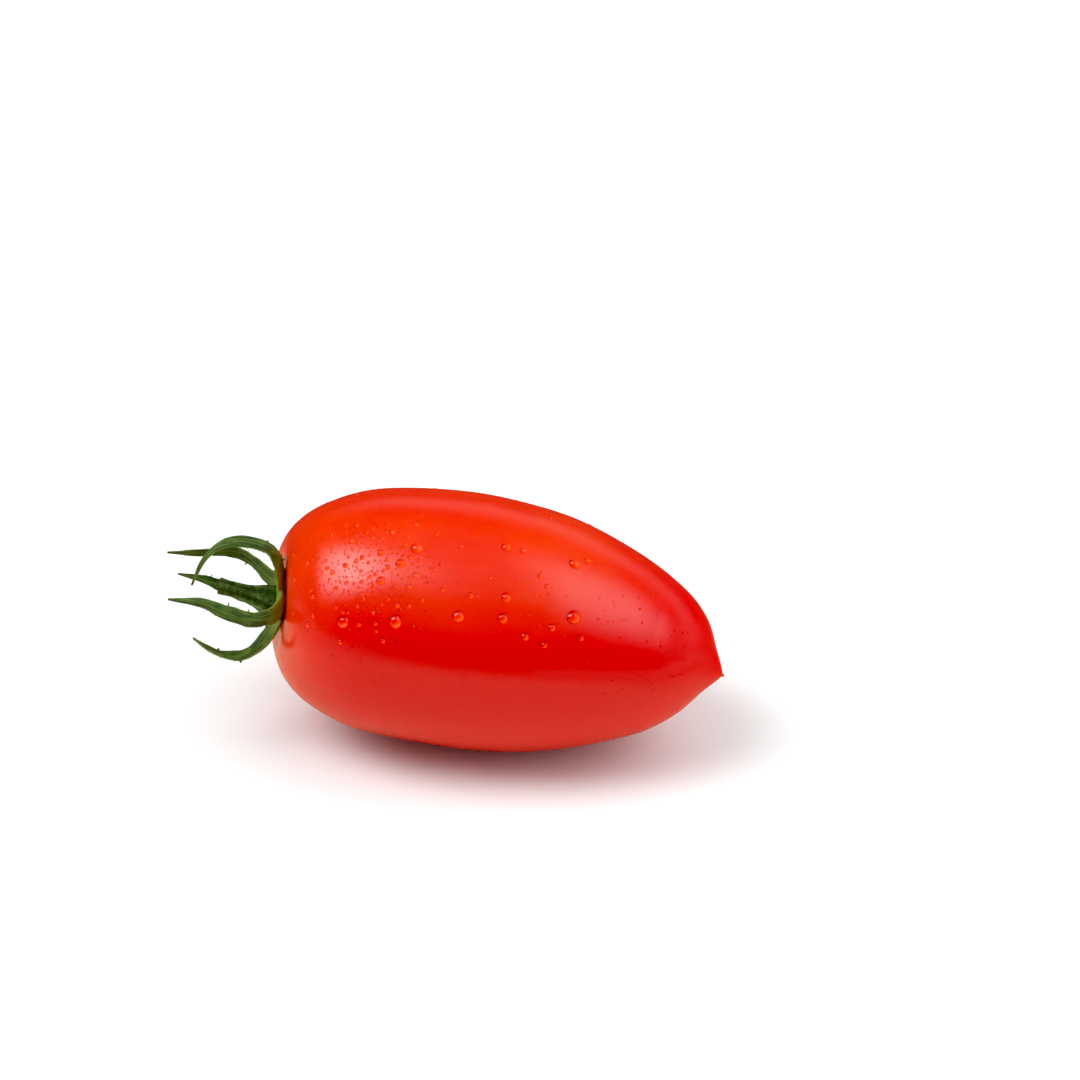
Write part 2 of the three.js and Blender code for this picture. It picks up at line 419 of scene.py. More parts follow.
def skin_material():
    """Glossy skin with a thin waxy coat and the finest unevenness."""
    material, recipe = Recipe.material("ripe_skin")
    place = recipe.place()
    roughness = recipe.between(recipe.noise(place, 3.0, 4.0), 0.3, 0.7, 0.19, 0.26)
    height = recipe.math("ADD", recipe.noise(place, 0.9, 2.0), recipe.noise(place, 0.25, 2.0))
    recipe.finish(
        Base_Color=skin_colour(recipe),
        Roughness=roughness,
        IOR=1.45,
        Subsurface_Weight=0.25,
        Subsurface_Radius=(1.0, 0.22, 0.10),
        Subsurface_Scale=2.2 * MM,
        Coat_Weight=0.15,
        Coat_Roughness=0.09,
        Coat_IOR=1.4,
        Normal=recipe.bump(height, 0.006),
    )
    return material


def wet_skin_material():
    """The skin as it shows through a drop: no gloss, painted shade towards the light and painted light on
    the far side.
    """
    material, recipe = Recipe.material("skin_under_water")
    painted_light = recipe.number("painted_light")
    colour = recipe.mix(recipe.between(painted_light, -0.05, -0.8, 0.0, 0.8), skin_colour(recipe), PAINTED_SHADE_RED)
    colour = recipe.mix(recipe.between(painted_light, 0.0, 0.7, 0.0, 0.7), colour, PAINTED_LIGHT_RED)
    recipe.finish(Base_Color=colour, Roughness=0.6, Specular_IOR_Level=0.0)
    return material


def water_material():
    """Clear water, with the faintest ripple so that no drop is a perfect lens."""
    material, recipe = Recipe.material("water")
    ripple = recipe.bump(recipe.noise(recipe.place(), 0.6, 1.0), 0.004)
    tint = recipe.mix(recipe.noise(recipe.place(), 2.0), (0.99, 0.995, 1.0), (1.0, 0.99, 0.985))
    recipe.finish(
        Base_Color=tint,
        Roughness=0.0,
        IOR=1.333,
        Transmission_Weight=1.0,
        Coat_Weight=0.2,
        Coat_Roughness=0.0,
        Coat_IOR=1.5,
        Normal=ripple,
    )
    return material


LEAF_DARK = (0.018, 0.045, 0.007)
LEAF_MID = (0.085, 0.160, 0.022)
LEAF_PALE = (0.27, 0.37, 0.065)
LEAF_OLIVE = (0.30, 0.24, 0.012)
LEAF_BROWN = (0.075, 0.038, 0.010)
LEAF_TAN = (0.32, 0.21, 0.075)
PITH = (0.50, 0.40, 0.20)

# Sizes in their grain, in millimetres, and how many times the blade's grain changes across and along.
LEAF_CLOUDS = 1.8
LEAF_VEINS = 0.35
STREAKS_ACROSS = 9.0
STREAKS_ALONG = 7.0
STALK_CLOUDS = 0.9
STALK_FIBRES = 0.25
PITH_GRAIN = 0.3


def leaf_material():
    """Streaked green blades: bright inside at the base, olive outside at the base, brown at the tip."""
    material, recipe = Recipe.material("sepal_green")
    place = recipe.place()
    along = recipe.number("along")
    side = recipe.number("across")
    across = recipe.math("ABSOLUTE", side)
    inner = recipe.between(recipe.number("inner"), -0.15, 0.15)
    clouds = recipe.between(recipe.noise(place, LEAF_CLOUDS, 5.0), 0.40, 0.60)
    grain_across = recipe.math("MULTIPLY", side, STREAKS_ACROSS)
    grain_along = recipe.math("MULTIPLY", along, STREAKS_ALONG)
    streaks = recipe.noise(recipe.join(grain_across, grain_along, inner), 1, 4.0)
    striped = recipe.between(streaks, 0.40, 0.60, 0.0, 0.55)
    shade = recipe.math("ADD", recipe.math("MULTIPLY", clouds, 0.45), striped)
    colour = recipe.mix(shade, LEAF_DARK, LEAF_MID)
    colour = recipe.mix(recipe.between(streaks, 0.56, 0.66, 0.0, 0.55), colour, LEAF_PALE)
    rib = recipe.between(across, 0.14, 0.02, 0.0, 0.25)
    colour = recipe.mix(rib, colour, LEAF_PALE)
    ends = recipe.math("ADD", along, recipe.math("MULTIPLY", streaks, 0.22))
    bright = recipe.math("MULTIPLY", recipe.between(ends, 0.48, 0.16), inner)
    colour = recipe.mix(recipe.math("MULTIPLY", bright, 0.80), colour, LEAF_PALE)
    outer = recipe.math("SUBTRACT", 1.0, inner)
    olive = recipe.math("MULTIPLY", recipe.between(ends, 0.60, 0.24), outer)
    colour = recipe.mix(olive, colour, LEAF_OLIVE)
    margin = recipe.between(across, 0.88, 1.0, 0.0, 0.35)
    colour = recipe.mix(margin, colour, LEAF_PALE)
    ragged = recipe.math("ADD", along, recipe.math("MULTIPLY", recipe.noise(place, 0.8), 0.04))
    colour = recipe.mix(recipe.between(ragged, 0.99, 1.02), colour, LEAF_BROWN)
    veins = recipe.noise(place, LEAF_VEINS, 6.0, 0.7)
    recipe.finish(
        Base_Color=colour,
        Roughness=recipe.between(veins, 0.3, 0.7, 0.42, 0.62),
        Specular_IOR_Level=0.3,
        Subsurface_Weight=0.12,
        Subsurface_Radius=(0.5, 0.9, 0.15),
        Subsurface_Scale=0.6 * MM,
        Sheen_Weight=0.06,
        Sheen_Roughness=0.45,
        Normal=recipe.bump(recipe.math("ADD", veins, streaks), 0.05),
    )
    return material


def stalk_material():
    """Green stalk, with painted shade in its grooves, yellow-flecked on its ribs, brown at its torn rim.
    """
    material, recipe = Recipe.material("stalk_green")
    place = recipe.place()
    along = recipe.number("along")
    fibres = recipe.noise(place, STALK_FIBRES, 6.0, 0.7)
    clouds = recipe.between(recipe.noise(place, STALK_CLOUDS, 5.0), 0.35, 0.65)
    colour = recipe.mix(clouds, LEAF_DARK, LEAF_MID)
    # Painted shade: darker where the ribs sink into grooves.
    colour = recipe.mix(recipe.between(recipe.number("rib"), 0.3, -0.8, 0.0, 0.6), colour, LEAF_DARK)
    on_ribs = recipe.between(recipe.number("rib"), 0.0, 1.0)
    flecks = recipe.math("MULTIPLY", on_ribs, recipe.between(fibres, 0.5, 0.7))
    colour = recipe.mix(recipe.math("MULTIPLY", flecks, 0.8), colour, LEAF_PALE)
    ragged = recipe.math("ADD", along, recipe.math("MULTIPLY", recipe.noise(place, 0.5), 0.10))
    colour = recipe.mix(recipe.between(ragged, 1.01, 1.06, 0.0, 0.8), colour, LEAF_BROWN)
    cut = recipe.between(recipe.number("cut"), 0.05, 0.6)
    pith = recipe.mix(recipe.noise(place, PITH_GRAIN, 6.0), LEAF_TAN, PITH)
    colour = recipe.mix(cut, colour, pith)
    recipe.finish(
        Base_Color=colour,
        Roughness=recipe.between(fibres, 0.3, 0.7, 0.5, 0.75),
        Specular_IOR_Level=0.3,
        Subsurface_Weight=0.08,
        Subsurface_Radius=(0.5, 0.9, 0.15),
        Subsurface_Scale=0.5 * MM,
        Sheen_Weight=0.05,
        Sheen_Roughness=0.5,
        Normal=recipe.bump(fibres, 0.06),
    )
    return material


CRUST_DARK = (0.16, 0.05, 0.010)
CRUST_LIGHT = (0.50, 0.20, 0.04)


def scar_material():
    """The dry brown dot at the point."""
    material, recipe = Recipe.material("dry_scar")
    crust = recipe.noise(recipe.place(), 0.15, 5.0)
    colour = recipe.mix(crust, CRUST_DARK, CRUST_LIGHT)
    recipe.finish(Base_Color=colour, Roughness=0.8, Normal=recipe.bump(crust, 0.05))
    return material


# The floor: white to the eye, and to the fruit's gloss painted reflections: a pale card in front, less
# pale to both sides, and warm dark elsewhere. Distances on it are in millimetres from the resting spot, to
# both sides and to the back, and for the card from its middle.
FLOOR_WHITE = (0.905, 0.945, 0.945)
FLOOR_CLOUD = (0.885, 0.925, 0.925)
FLOOR_CLOUD_SIZE = 60
FLOOR_BOUNCE = (0.95, 0.91, 0.90)
PAINTED_DARK_REFLECTION = (0.26, 0.035, 0.02)
PAINTED_CARD_REFLECTION = (0.77, 0.62, 0.44)
CARD_AT = np.array([-20, -60, 0]) * MM
CARD_FULL = 65.0
CARD_ENDS = 140.0
PAINTED_PALE_REFLECTION = (0.46, 0.39, 0.35)
PALE_FROM = 50.0
PALE_FULL = 190.0
PALE_BACK = 60.0


def floor_material():
    """What a ray sees on the floor depends on whether it is looking, mirroring or lighting; what it
    mirrors is painted reflection.
    """
    material, recipe = Recipe.material("white_floor")
    place = recipe.place()
    white = recipe.mix(recipe.noise(place, FLOOR_CLOUD_SIZE, 2.0), FLOOR_CLOUD, FLOOR_WHITE)
    card = recipe.between(recipe.distance(place, CARD_AT), CARD_ENDS, CARD_FULL)
    sideways = recipe.math("ABSOLUTE", recipe.dot(place, (1, 0, 0)))
    in_front = recipe.between(recipe.dot(place, (0, 1, 0)), PALE_BACK, 0.0)
    sides = recipe.math("MULTIPLY", recipe.between(sideways, PALE_FROM, PALE_FULL), in_front)
    # Painted reflection: colours that only the fruit's gloss sees.
    mirrored = recipe.mix(card, recipe.mix(sides, PAINTED_DARK_REFLECTION, PAINTED_PALE_REFLECTION), PAINTED_CARD_REFLECTION)
    path = recipe.node("LightPath", {}).outputs
    lighting = recipe.mix(path["Is Glossy Ray"], FLOOR_BOUNCE, mirrored)
    colour = recipe.mix(path["Is Camera Ray"], lighting, white)
    recipe.finish(Base_Color=colour, Roughness=0.9, Specular_IOR_Level=0.1)
    return material


# The fruit.
def fruit_shape():
    """The skin, waving a little, and flat where it rests on the floor."""
    share = np.linspace(0, 1, SKIN_RINGS)[1:-1, None]
    angle = np.linspace(0, 2 * math.pi, SKIN_SIDES, endpoint=False)[None, :]
    share, angle = np.broadcast_arrays(share, angle)
    points = skin_at(share, angle)
    inwards = unit(REST_SHIFT - points)
    clear_of_floor = smooth(WAVE_LOW, WAVE_HIGH, points[..., 2])
    clear_of_ends = smooth(0, WAVE_ENDS, share) * smooth(1, 1 - WAVE_TIP, share)
    wave = WAVE_DEPTH * clear_of_floor * clear_of_ends * wander(points, WAVE_LENGTH)
    points = points + inwards * wave[..., None]
    points[..., 2] = np.maximum(points[..., 2], 0)
    shape = Shape()
    shape.add_tube(points)
    return shape


# Each sepal: its line beyond the root, as [out from the fruit, away from the axis, swing], its widths
# and twists from base to tip, and its few thick hairs, as [share of the way along, angle round the
# blade, length].
SEPAL_ROOT = [[0.95, 2.1, 0], [1.0, 3.4, 0]]
SEPALS = [
    {"twists": [0, 0.40, 0.20, 0.10], "widths": [5.0, 4.6, 3.4, 2.7, 2.5, 2.4, 1.9, 1.3, 0.35],
     "hairs": [[0.36, -1.6, 0.5], [0.5, 3.0, 0.3]],
     "line": [[1.5, 5.6, 0], [2.2, 7.8, 0], [4.0, 9.7, 0], [7.6, 10.6, 0],
              [11.2, 9.8, 0.1], [13.6, 6.6, 0.2], [14.8, 1.9, 0.3]]},
    {"twists": [0, -0.05, -0.10, -0.15], "widths": [5.0, 4.6, 3.6, 2.9, 2.5, 2.4, 2.2, 1.4, 0.35],
     "hairs": [[0.72, 3.1, 0.45], [0.60, 3.1, 0.3], [0.45, 0.0, 0.3]],
     "line": [[1.7, 6.2, 0], [3.4, 8.7, 0.3], [6.4, 10.0, 0.5], [10.2, 9.8, -0.3],
              [14.0, 8.5, -1.2], [19.0, 6.6, -0.9]]},
    {"twists": [0, 0.40, 0.50, 0.30], "widths": [5.0, 4.9, 4.0, 3.4, 3.0, 2.7, 2.2, 1.4, 0.35],
     "hairs": [[0.58, 3.0, 0.65], [0.75, 0.1, 0.3]],
     "line": [[2.1, 5.6, 0], [3.8, 7.8, 0], [6.4, 9.2, 0], [9.2, 9.1, 0],
              [11.6, 8.2, 0], [13.9, 6.8, 0]]},
    {"twists": [0, 0.07, 0.13, 0.20], "widths": [5.0, 4.8, 3.6, 2.9, 2.6, 2.3, 1.8, 1.1, 0.3],
     "hairs": [[0.8, 0.0, 0.3]],
     "line": [[2.3, 5.0, 1.0], [4.6, 6.6, 2.6], [8.0, 7.4, 3.9], [11.5, 7.2, 5.0],
              [15.9, 6.1, 5.3]]},
    {"twists": [0, -0.03, -0.07, -0.10], "widths": [5.0, 4.8, 3.6, 2.9, 2.6, 2.3, 1.8, 1.2, 0.3],
     "hairs": [[0.5, 3.1, 0.3]],
     "line": [[2.4, 4.8, 0], [4.2, 6.9, 0], [7.0, 8.8, 0], [10.7, 8.6, 0],
              [14.2, 8.1, 0], [18.2, 7.8, 0]]},
]
SEPAL_STEPS = 130
SEPAL_SIDES = 56
SEPAL_BASE_THICK = 1.35 * MM
SEPAL_TIP_THICK = 0.38 * MM
SEPAL_THINS = 2.2
SEPAL_FULLEST = 0.8
SEPAL_ARCH = 0.13
SEPAL_ARCH_LEVEL = 0.5
DETAIL_STARTS = (0.03, 0.2)
DETAIL_ENDS = (1.0, 0.85)
RIB_HEIGHT = 0.11 * MM
RIB_WIDTH = 0.13
RIDGE_HEIGHT = 0.022 * MM
RIDGES = 17
RIPPLE = 0.10 * MM
RIPPLES = 23
SCALLOP = 0.045
SCALLOPS = 31
FINE_SCALLOPS = 67

# Hairs: how many, how long and thick, how far they lean, how many rings of the mesh stay bare, and
# their outline from root to end, as shares of the length and of the radius.
HAIRS_PER_SEPAL = 70
HAIRS_ON_STUB = 60
SEPAL_HAIR_LENGTH = 0.42 * MM
STUB_HAIR_LENGTH = 0.40 * MM
HAIR_RADIUS = 0.035 * MM
THICK_HAIR_RADIUS = 0.11 * MM
HAIR_SIDES = 6
HAIR_SHORTEST = 0.35
HAIR_LEAN = 0.45
GLAND_SHARE = 0.25
BARE_ON_SEPAL = 18
BARE_ON_STUB = 6
BARE_AT_END = 8
GLAND_HAIR = [[-0.05, 1.3], [0.3, 0.9], [0.7, 0.6], [0.86, 1.9], [0.95, 1.8], [1.0, 0.5]]
PLAIN_HAIR = [[-0.05, 1.3], [0.35, 0.9], [0.7, 0.6], [1.0, 0.15]]


def add_hair(shape, root, way, length, radius, gland, **numbers):
    """One tapered hair, with or without a round gland on its end."""
    side = unit(np.cross(way, [0.3, 0.5, 0.81]))
    other = np.cross(way, side)
    turns = np.linspace(0, 2 * math.pi, HAIR_SIDES, endpoint=False)
    around = np.cos(turns)[:, None] * side + np.sin(turns)[:, None] * other
    outline = GLAND_HAIR if gland else PLAIN_HAIR
    rings = [root + way * length * height + around * radius * width for height, width in outline]
    shape.add_tube(rings, **numbers)


def add_hairs(shape, roots, normals, rng, longest, **numbers):
    """Short fine hairs leaning all ways, a few of them with a gland."""
    for root, normal in zip(roots, normals):
        length = longest * rng.uniform(HAIR_SHORTEST, 1.0)
        way = unit(normal + HAIR_LEAN * rng.normal(size=3))
        add_hair(shape, root, way, length, HAIR_RADIUS, rng.uniform() < GLAND_SHARE, **numbers)


def hair_roots(points, rng, first_row, count):
    """Random places on a tube's rings, and the directions away from its middle line there."""
    steps, sides, _ = points.shape
    rows = rng.integers(first_row, steps - BARE_AT_END, count)
    columns = rng.integers(0, sides, count)
    roots = points[rows, columns]
    return roots, unit(roots - points.mean(axis=1)[rows])


def sepal_shape(index):
    """One arched blade with a rib, fine ridges, rippled and scalloped margins, and hairs."""
    rng = np.random.default_rng(SEPAL_SEED + index)
    form = SEPALS[index]
    turn = index * SEPAL_STEP
    away = np.array([0, math.cos(turn), math.sin(turn)])
    across_way = np.array([0, -math.sin(turn), math.cos(turn)])
    middle = line_through(np.array(SEPAL_ROOT + form["line"]) * MM)
    width_at = line_through(np.array(form["widths"])[:, None] * MM)

    def place_on(share):
        out, reach, swing = np.moveaxis(middle(share), -1, 0)
        return stack(out, 0, 0) + reach[..., None] * away + swing[..., None] * across_way

    share = np.linspace(0, 1, SEPAL_STEPS)
    ahead = unit(place_on(np.minimum(share + 0.01, 1)) - place_on(np.maximum(share - 0.01, 0)))
    wide = unit(across_way - (ahead @ across_way)[:, None] * ahead)
    twist = line_through(np.array(form["twists"])[:, None])(share)
    wide = wide * np.cos(twist) + np.cross(ahead, wide) * np.sin(twist)
    thick = np.cross(ahead, wide)

    around = np.linspace(0, 2 * math.pi, SEPAL_SIDES, endpoint=False)[None, :]
    across = np.cos(around) + 0 * share[:, None]
    inner = np.sin(around) + 0 * share[:, None]
    along = share[:, None]
    width = width_at(share)[:, 0][:, None]
    phase = rng.uniform(0, 2 * math.pi, size=4)
    edge = np.abs(across) ** 4
    bites = np.sin(SCALLOPS * along + phase[0] + 2 * np.sign(across))
    bites += 0.6 * np.sin(FINE_SCALLOPS * along + phase[1])
    scallop = 1 + SCALLOP * edge * bites
    depth = SEPAL_TIP_THICK + (SEPAL_BASE_THICK - SEPAL_TIP_THICK) * (1 - along) ** SEPAL_THINS
    depth = np.minimum(depth, width * SEPAL_FULLEST)
    lens = np.sign(inner) * np.abs(inner) ** 0.8 * depth / 2
    fade = smooth(*DETAIL_STARTS, along) * smooth(*DETAIL_ENDS, along)
    rib = np.exp(-(across / RIB_WIDTH) ** 2) * fade * RIB_HEIGHT
    lens -= np.where(inner < 0, rib, rib * 0.6)
    ridges = np.cos(RIDGES * across + 0.8 * np.sin(9 * along))
    ridges += 0.7 * np.cos(1.7 * RIDGES * across + 2 * np.sin(5 * along + phase[3]))
    lens += RIDGE_HEIGHT * ridges * fade * (1 - edge) * np.abs(inner)
    arch = -SEPAL_ARCH * width * (SEPAL_ARCH_LEVEL - across ** 2) * smooth(0, 0.3, along)
    ripple = RIPPLE * across ** 2 * fade * np.sin(RIPPLES * along + phase[2] + 1.3 * np.sign(across))
    sideways = (across * scallop * width / 2)[..., None] * wide[:, None, :]
    outwards = (lens + arch + ripple)[..., None] * thick[:, None, :]
    points = in_calyx(place_on(share)[:, None, :] + sideways + outwards)

    shape = Shape()
    shape.add_tube(points, along=along + 0 * across, across=across, inner=inner)
    roots, normals = hair_roots(points, rng, BARE_ON_SEPAL, HAIRS_PER_SEPAL)
    add_hairs(shape, roots, normals, rng, SEPAL_HAIR_LENGTH, along=0.5, across=0.5, inner=1.0)
    for at, angle, length in form["hairs"]:
        row = round(at * (SEPAL_STEPS - 1))
        column = round(angle / (2 * math.pi) * SEPAL_SIDES) % SEPAL_SIDES
        root = points[row, column]
        way = unit(root - points.mean(axis=1)[row] + 0.3 * (points[row + 1, column] - root))
        colours = {"along": 0.96, "across": 0.5, "inner": 1.0}
        add_hair(shape, root, way, length * MM, THICK_HAIR_RADIUS, True, **colours)
    return shape


# The rosette: its radius, and how much more that is at a sepal and less between two; its underside's
# distance out in the middle, and how that grows with the radius squared; its thickness and its hub.
ROSETTE_RADIUS = 3.5 * MM
ROSETTE_POINTS = 0.7 * MM
ROSETTE_RINGS = 16
ROSETTE_SIDES = 160
ROSETTE_UNDER = 0.08 * MM
ROSETTE_CUP = 0.019 / MM
ROSETTE_THICK = 0.85 * MM
ROSETTE_EDGE = 0.98
ROSETTE_HUB = 0.9 * MM
ROSETTE_HUB_FROM = 3.4 * MM
ROSETTE_HUB_FULL = 1.2 * MM
ROSETTE_GREEN = 0.85
CALYX_UNEVEN = 0.03 * MM


def rosette_shape():
    """The cupped green disc where the five sepals join, raised in the middle round the stalk."""
    turn = np.linspace(0, 2 * math.pi, ROSETTE_SIDES, endpoint=False)
    rim = ROSETTE_RADIUS + ROSETTE_POINTS * np.cos(5 * turn)
    inner_side = np.linspace(0.05, 1, ROSETTE_RINGS)
    reach = np.concatenate([inner_side, inner_side[::-1]])[:, None]
    radius = reach * rim[None, :]
    upper = np.arange(2 * ROSETTE_RINGS)[:, None] >= ROSETTE_RINGS
    under = ROSETTE_UNDER + ROSETTE_CUP * radius ** 2
    rounding = (1 - (reach * ROSETTE_EDGE) ** 3) ** 0.8
    hub = ROSETTE_HUB * smooth(ROSETTE_HUB_FROM, ROSETTE_HUB_FULL, radius)
    top = under + (ROSETTE_THICK * rounding + hub)
    out = np.where(upper, top, under)
    points = in_calyx(stack(out, radius * np.cos(turn), radius * np.sin(turn)))
    points += CALYX_UNEVEN * wander(points, 0.7 * MM)[..., None] * CALYX_AXES[0]
    shape = Shape()
    inner = np.where(upper & (reach < ROSETTE_GREEN), 1.0, -1.0) + 0 * radius
    shape.add_tube(points, along=0.10 * reach + 0 * radius, across=0.5 + 0 * radius, inner=inner)
    return shape


# The stub's mesh, the fine ribs between its five, and how deep its cut face sinks and its rim is torn.
STUB_STEPS = 80
STUB_SIDES = 100
CUT_RINGS = 10
FINE_RIBS = 17
FINE_RIB_DEPTH = 0.02
CUT_SINKS = 0.28 * MM
PITH_RISES = 0.10 * MM
TORN_COARSE = 0.08 * MM
TORN_FINE = 0.04 * MM


def stub_shape():
    """The ribbed stub, flaring at its torn rim, with a sunken cut face."""
    rng = np.random.default_rng(STUB_SEED)
    turn = np.linspace(0, 2 * math.pi, STUB_SIDES, endpoint=False)[None, :]
    share = np.linspace(0, 1, STUB_STEPS)[:, None]
    start = np.array([STUB_START, 0, 0])
    axis = STUB_END - start
    narrowed = STUB_BASE_RADIUS + (STUB_NECK_RADIUS - STUB_BASE_RADIUS) * smooth(0, STUB_NECK_AT, share)
    radius = narrowed + (STUB_CUT_RADIUS - STUB_NECK_RADIUS) * smooth(STUB_FLARES_FROM, 1, share)
    twist = turn + STUB_TWIST * share
    rib = np.cos(STUB_RIBS * twist)
    fine = FINE_RIB_DEPTH * np.cos(FINE_RIBS * twist + 2 * np.sin(6 * share))
    radius = radius * (1 + STUB_RIB_DEPTH * rib + fine)
    torn = TORN_COARSE * np.sin(7 * turn + 1.0) + TORN_FINE * np.sin(13 * turn + 2.2)
    slant = STUB_SLANT * np.cos(turn - STUB_SLANT_TURN)
    reach = share * np.linalg.norm(axis) + torn * smooth(STUB_TEARS_FROM, 1, share)
    reach = reach + slant * radius * smooth(STUB_SLANTS_FROM, 1, share)
    ahead = unit(axis)
    places = stack(radius * 0, radius * np.cos(turn), radius * np.sin(turn))
    wall = start + reach[..., None] * ahead + places
    inwards = np.linspace(0.94, 0.08, CUT_RINGS)[:, None]
    sink = CUT_SINKS * smooth(1.0, 0.6, inwards) - PITH_RISES * smooth(0.35, 0.0, inwards)
    cut_reach = reach[-1:] - torn * smooth(1.0, 0.7, inwards) - sink - slant * radius[-1:] * (1 - inwards)
    cut = start + cut_reach[..., None] * ahead + places[-1:] * inwards[..., None]
    points = in_calyx(np.concatenate([wall, cut]))
    points += CALYX_UNEVEN * wander(points, 0.5 * MM)[..., None]
    shape = Shape()
    along = np.concatenate([share + 0 * turn, 1 + 0 * inwards + 0 * turn])
    ribs = np.concatenate([rib, np.zeros((CUT_RINGS, STUB_SIDES))])
    cut_share = np.concatenate([np.zeros((STUB_STEPS, STUB_SIDES)), smooth(0.97, 0.8, inwards) + 0 * turn])
    shape.add_tube(points, along=along, rib=ribs, cut=cut_share)
    roots, normals = hair_roots(points[:STUB_STEPS], rng, BARE_ON_STUB, HAIRS_ON_STUB)
    add_hairs(shape, roots, normals, rng, STUB_HAIR_LENGTH, along=0.5, rib=0.5, cut=0.0)
    return shape


# The dry knob's outline, as [ahead of the point, radius] in millimetres.
KNOB = [[-0.25, 0.22], [-0.08, 0.25], [0.06, 0.22], [0.15, 0.16], [0.19, 0.09], [0.15, 0.03]]
KNOB_SIDES = 20
BEFORE_TIP = np.array(0.985)


def scar_shape():
    """A tiny dry knob where the flower dropped off the point."""
    turn = np.linspace(0, 2 * math.pi, KNOB_SIDES, endpoint=False)
    before = (skin_at(BEFORE_TIP, np.array(0.0)) + skin_at(BEFORE_TIP, np.array(math.pi))) / 2
    ahead = unit(TIP_AT - before)
    side = unit(np.cross(ahead, [0, 0, 1]))
    up = np.cross(side, ahead)
    around = np.cos(turn)[:, None] * side + np.sin(turn)[:, None] * up
    lumps = (1 + 0.2 * np.sin(3 * turn + 0.5) + 0.12 * np.sin(5 * turn))[:, None]
    shape = Shape()
    shape.add_tube([TIP_AT + ahead * reach * MM + around * lumps * radius * MM for reach, radius in KNOB])
    return shape


# Camera.
def camera_directions():
    """The directions back to the camera, to the right and upwards in the picture."""
    sine, cosine = math.sin(CAMERA_AZIMUTH), math.cos(CAMERA_AZIMUTH)
    level = math.cos(CAMERA_ELEVATION)
    back = np.array([sine * level, -cosine * level, math.sin(CAMERA_ELEVATION)])
    right = np.array([cosine, sine, 0])
    return back, right, np.cross(back, right)


BACK, RIGHT, UP = camera_directions()
CAMERA_AT = CAMERA_TARGET + CAMERA_DISTANCE * BACK


def add_camera():
    """A long lens, looking down at the fruit from in front of it."""
    data = bpy.data.cameras.new("camera")
    data.lens = CAMERA_LENS
    data.sensor_width = CAMERA_SENSOR
    data.clip_start = 0.01
    data.clip_end = 20
    camera = bpy.data.objects.new("camera", data)
    camera.location = CAMERA_AT
    camera.rotation_euler = Vector(-BACK).to_track_quat("-Z", "Y").to_euler()
    bpy.context.scene.collection.objects.link(camera)
    bpy.context.scene.camera = camera


# Drops that the photograph shows: where they are, as [across, down] in pixels of the 1080 frame,
# and last their radius in millimetres.
SEEN_DROPS = [
    [400.4, 563.4, 0.78], [380.5, 580.7, 0.72], [381, 552.8, 0.64], [416.8, 548.4, 0.98],
    [332.3, 572.5, 0.45], [369.7, 576.8, 0.36], [415.2, 575.3, 0.48], [408.7, 586.9, 0.48],
    [361.6, 582, 0.36], [361, 571, 0.32], [343, 622, 0.98], [395.2, 621.6, 1.08],
    [458.2, 616.5, 0.96], [502.8, 618.6, 0.80], [525.2, 636.8, 0.60], [551.9, 627.7, 0.60],
    [573.6, 617.2, 1.10], [544.2, 645.2, 0.52], [506.3, 597.5, 0.78], [574.3, 563.9, 0.86],
    [506.3, 547, 0.78], [523.1, 550.5, 0.52], [470.5, 595.4, 0.52], [587.7, 561, 0.52],
    [580.7, 638.2, 0.52], [540, 575.8, 0.43], [547, 586.3, 0.43],
]
WETTEST_SPOT = [365, 575]

# Kinds of drops: the angle at which they meet the skin, how much painted shade darkens the small ones, and
# for the spray how many there are, the smallest radius and what may be added to it in millimetres, and for
# those round the wettest spot how far they spread from it in millimetres.
SEEN = {"contact": 62, "painted_shade": -0.3}
CLUSTER = {"contact": 58, "painted_shade": -0.6, "count": 230, "smallest": 0.16, "added": 0.34, "spread": 5.2}
SCATTER = {"contact": 42, "painted_shade": -0.05, "count": 430, "smallest": 0.13, "added": 0.13}
MIST = {"contact": 58, "painted_shade": -0.7, "count": 160, "smallest": 0.09, "added": 0.06, "spread": 6.0}
DRY_REACH = 9 * MM
SPRAY_LOWEST = 0.30
SPRAY_FADES = 0.50
SPRAY_CROWDED = 2.5

# How drops are meshed, as [rings, sides], and how far from round they are.
SEEN_MESH = [12, 32]
SPRAY_MESH = [5, 12]
SMALL_MESH = [3, 8]
SMALL_DROP = 0.175 * MM
SEEN_LUMPS = 0.05
SPRAY_LUMPS = 0.14
DROP_MIDDLE = 0.12
DROP_LIFT = 0.012 * MM
DROP_SPACING = 1.15

# How the skin shows through a drop: from LENS_FROM to LENS_FULL in radius a drop gets painted light on
# its far side, where a lens would gather light, and painted shade on its rim.
LENS_FROM = 0.12 * MM
LENS_FULL = 0.35 * MM
RIM_FROM = 0.70
RIM_PAINTED_SHADE = -0.8
RIM_SWING = 0.3


def photo_ray(across, down):
    """Direction from the camera through a place in the 1080 frame."""
    middle = FRAME_PIXELS / 2
    return unit((across - middle) / FOCAL_PIXELS * RIGHT - (down - middle) / FOCAL_PIXELS * UP - BACK)


